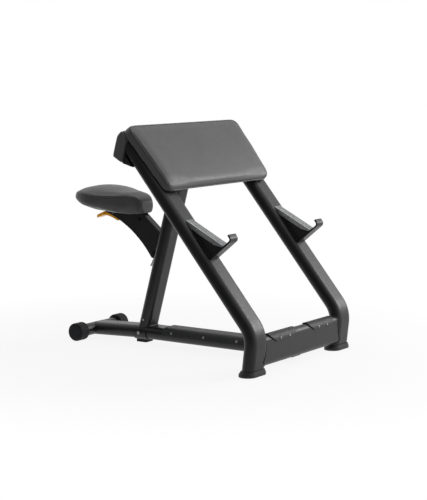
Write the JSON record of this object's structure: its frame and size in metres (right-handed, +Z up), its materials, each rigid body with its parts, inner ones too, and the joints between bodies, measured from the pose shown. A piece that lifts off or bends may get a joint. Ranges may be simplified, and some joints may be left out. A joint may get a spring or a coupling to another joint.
{
  "type": "preacher curl bench",
  "caption": "Preacher curl bench: sloping arm pad over bent oval-tube legs with bar rests, and a seat whose height is set on a sloping post by a release lever.",
  "frame": {"origin": "on the floor under the middle of the bench's outline", "axes": "+X forward, away from the user and towards the bar rests, +Y to the user's left, +Z up"},
  "size_m": [1.0508, 0.748, 0.896],
  "materials": {
    "frame": "satin",
    "upholstery": "matte",
    "board": "matte",
    "rubber": "matte",
    "wear_strip": "ribbed, satin",
    "cover": "matte",
    "glide": "smooth",
    "bright_steel": "zinc plated",
    "lever": "glossy"
  },
  "bodies": {
    "frame": {"arm_pad": "upholstery", "arm_pad_board": "board", "arm_pad_bolts": "bright_steel", "base_spine": "frame", "chest_board": "board", "chest_bolts": "bright_steel", "chest_pad": "upholstery", "foot_block": "rubber", "foot_strap": "frame", "foot_strap_bolt": "bright_steel", "front_cross_tube": "frame", "gas_spring_cylinder": "frame", "gas_spring_pin": "bright_steel", "left_chest_bracket": "frame", "left_front_foot": "rubber", "left_hook_plate": "frame", "left_leg": "frame", "left_rear_cap": "rubber", "left_rest_bracket": "frame", "left_wear_cover": "cover", "left_wear_strip": "wear_strip", "rear_crossbar": "frame", "right_chest_bracket": "frame", "right_front_foot": "rubber", "right_hook_plate": "frame", "right_leg": "frame", "right_rear_cap": "rubber", "right_rest_bracket": "frame", "right_wear_cover": "cover", "right_wear_strip": "wear_strip", "seat_post": "frame", "spine_cover": "cover", "spine_cover_screws": "bright_steel", "top_cross_tube": "frame", "wear_cover_screws": "bright_steel", "wear_strip_screws": "bright_steel"},
    "seat_carriage": {"right_seat_cheek": "frame", "left_seat_cheek": "frame", "front_web": "frame", "arc_web": "frame", "spring_clip": "bright_steel", "bracket_bolts": "bright_steel", "bracket_spacers": "bright_steel", "lower_glide": "glide", "upper_glide": "glide", "glide_pins": "bright_steel", "gas_spring_rod": "bright_steel", "seat_plate": "frame", "seat_board": "board", "seat_pad": "upholstery", "seat_bolts": "bright_steel", "lever_pin": "bright_steel"},
    "lever": {"release_lever": "lever"}
  },
  "joints": [
    {"name": "seat_height", "type": "slide", "parent": "frame", "child": "seat_carriage", "axis": [0.2639, 0, 0.9646], "range_m": [-0.1, 0]},
    {"name": "release_lever_pull", "type": "hinge", "parent": "seat_carriage", "child": "lever", "pos_m": [-0.3814, 0, 0.516], "axis": [0, 1, 0], "range_deg": [0, 12], "stiffness_Nm_per_rad": 1.5, "springref_deg": -8.59}
  ]
}
